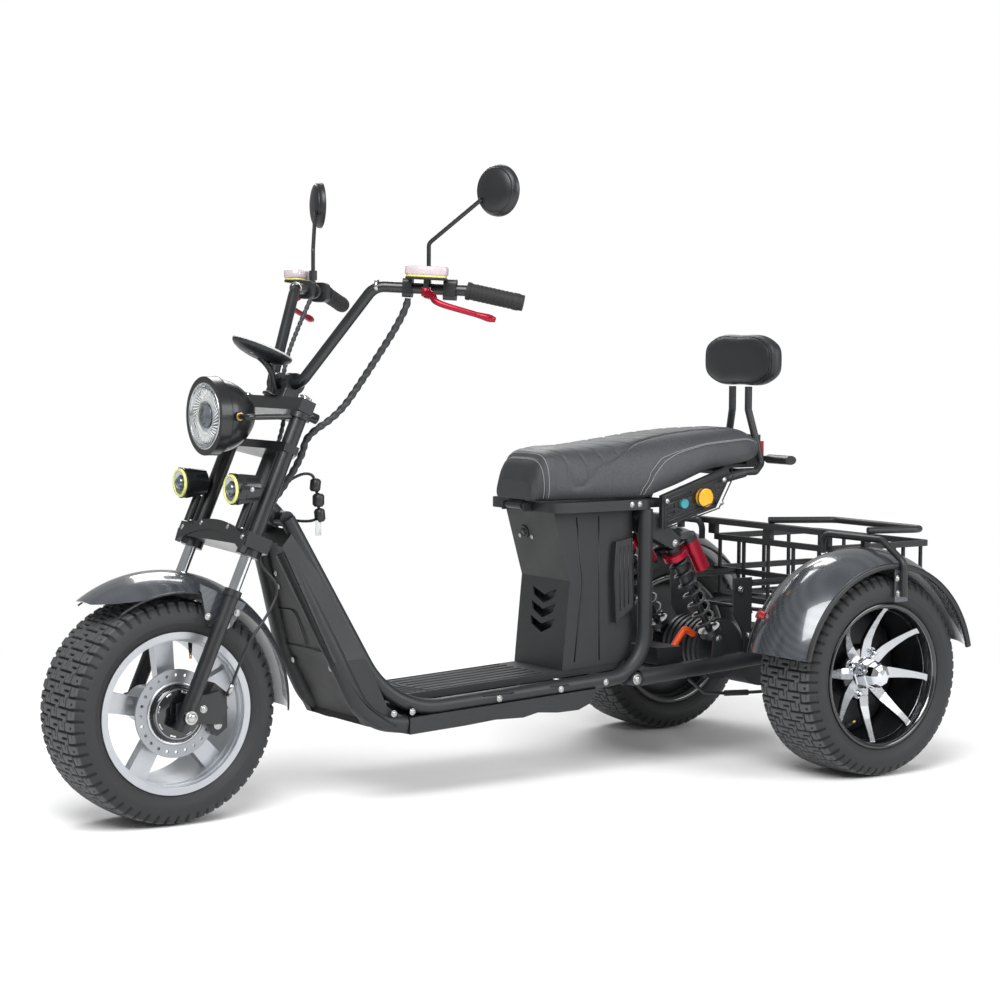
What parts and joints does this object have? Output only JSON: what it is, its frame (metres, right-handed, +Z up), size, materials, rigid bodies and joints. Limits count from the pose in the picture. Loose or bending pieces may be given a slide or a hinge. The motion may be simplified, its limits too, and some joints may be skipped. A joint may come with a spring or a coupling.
{
  "type": "motorized trike",
  "caption": "Electric cruiser tricycle with fat road tyres, step-through floor, swept handlebar, saddle with backrest and a wire basket between the rear wheels",
  "frame": {"origin": "on the floor under the middle of the machine's length and width", "axes": "+X forward, +Y to the rider's left, +Z up; the longest extent lies along X"},
  "size_m": [2.2429, 1.025, 1.3669],
  "materials": {
    "tyre": "black rubber, moulded",
    "cast_silver": "cast and machined, satin",
    "rim_black": "gloss black with machined blade faces",
    "disc_steel": "drilled plate, turned",
    "fender_gloss": "dark woven grey under clear lacquer",
    "fork_black": "satin black",
    "chrome": "polished",
    "frame_charcoal": "fine textured powder coat",
    "shield_plastic": "grained moulding",
    "floor_mat": "ribbed rubber mat",
    "grip_rubber": "soft black",
    "control_black": "moulded and cast black",
    "reservoir_clear": "clear tinted",
    "anodised_red": "crimson anodised",
    "mirror_face": "silvered",
    "lamp_clear": "clear lens",
    "lens_red": "red lens",
    "lens_amber": "amber lens",
    "port_cap": "turquoise cap",
    "seat_leather": "stitched, dark grey",
    "pad_leather": "black",
    "motor_grey": "cast, painted grey",
    "spring_black": "black coated wire",
    "battery_case": "plain case",
    "cable_black": "black sheathed and braided",
    "cable_orange": "orange sheath"
  },
  "bodies": {
    "chassis": {"axle_housing": "frame_charcoal", "backrest_frame": "frame_charcoal", "backrest_pad": "pad_leather", "basket_legs": "frame_charcoal", "battery": "battery_case", "belly_pan": "shield_plastic", "carrier_loop": "frame_charcoal", "charge_port": "port_cap", "drive_motor": "motor_grey", "fender_cross_bar": "frame_charcoal", "fender_hoops": "frame_charcoal", "floor_board": "floor_mat", "leg_shield": "shield_plastic", "main_frame": "frame_charcoal", "motor_cable": "cable_orange", "rear_basket": "frame_charcoal", "rear_cables": "cable_black", "rear_fenders": "fender_gloss", "rear_turn_signals": "control_black", "red_lamps": "lens_red", "seat_box": "shield_plastic", "seat_ring": "shield_plastic", "shock_bodies": "spring_black", "shock_collars": "anodised_red", "shock_springs": "spring_black", "side_reflectors": "lens_amber", "swingarm": "frame_charcoal", "tail_frame": "frame_charcoal", "tail_side_panels": "shield_plastic"},
    "steering": {"front_fender": "fender_gloss", "fork_lower_legs": "fork_black", "fork_tubes": "chrome", "fork_crown": "fork_black", "top_clamp": "fork_black", "handlebar": "fork_black", "grips": "grip_rubber", "bar_controls": "control_black", "fluid_reservoirs": "reservoir_clear", "brake_levers": "anodised_red", "mirrors": "control_black", "mirror_glass": "mirror_face", "headlight_bucket": "fork_black", "headlight_arms": "fork_black", "lamp_lenses": "lamp_clear", "fog_lamps": "fork_black", "gauge": "control_black", "front_caliper": "control_black", "fork_covers": "fork_black", "control_cables": "cable_black"},
    "front_wheel": {"front_tyre": "tyre", "front_rim": "cast_silver", "front_brake_disc": "disc_steel"},
    "rear_wheel_left": {"rear_tyre_left": "tyre", "rear_rim_left": "rim_black"},
    "rear_wheel_right": {"rear_tyre_right": "tyre", "rear_rim_right": "rim_black"},
    "seat": {"seat": "seat_leather", "seat_base": "shield_plastic"}
  },
  "joints": [
    {"name": "steering_turn", "type": "hinge", "parent": "chassis", "child": "steering", "pos_m": [0.64909, 0, 0.666], "axis": [-0.4003, 0, 0.9164], "range_deg": [-35, 35]},
    {"name": "front_wheel_spin", "type": "hinge", "parent": "steering", "child": "front_wheel", "pos_m": [0.8865, 0, 0.235], "axis": [0, 1, 0], "continuous": true},
    {"name": "rear_left_spin", "type": "hinge", "parent": "chassis", "child": "rear_wheel_left", "pos_m": [-0.7215, 0.389, 0.235], "axis": [0, 1, 0], "continuous": true},
    {"name": "rear_right_spin", "type": "hinge", "parent": "chassis", "child": "rear_wheel_right", "pos_m": [-0.7215, -0.389, 0.235], "axis": [0, 1, 0], "continuous": true},
    {"name": "seat_lift", "type": "hinge", "parent": "chassis", "child": "seat", "pos_m": [-0.0155, 0, 0.626], "axis": [0, 1, 0], "range_deg": [0, 55]}
  ]
}
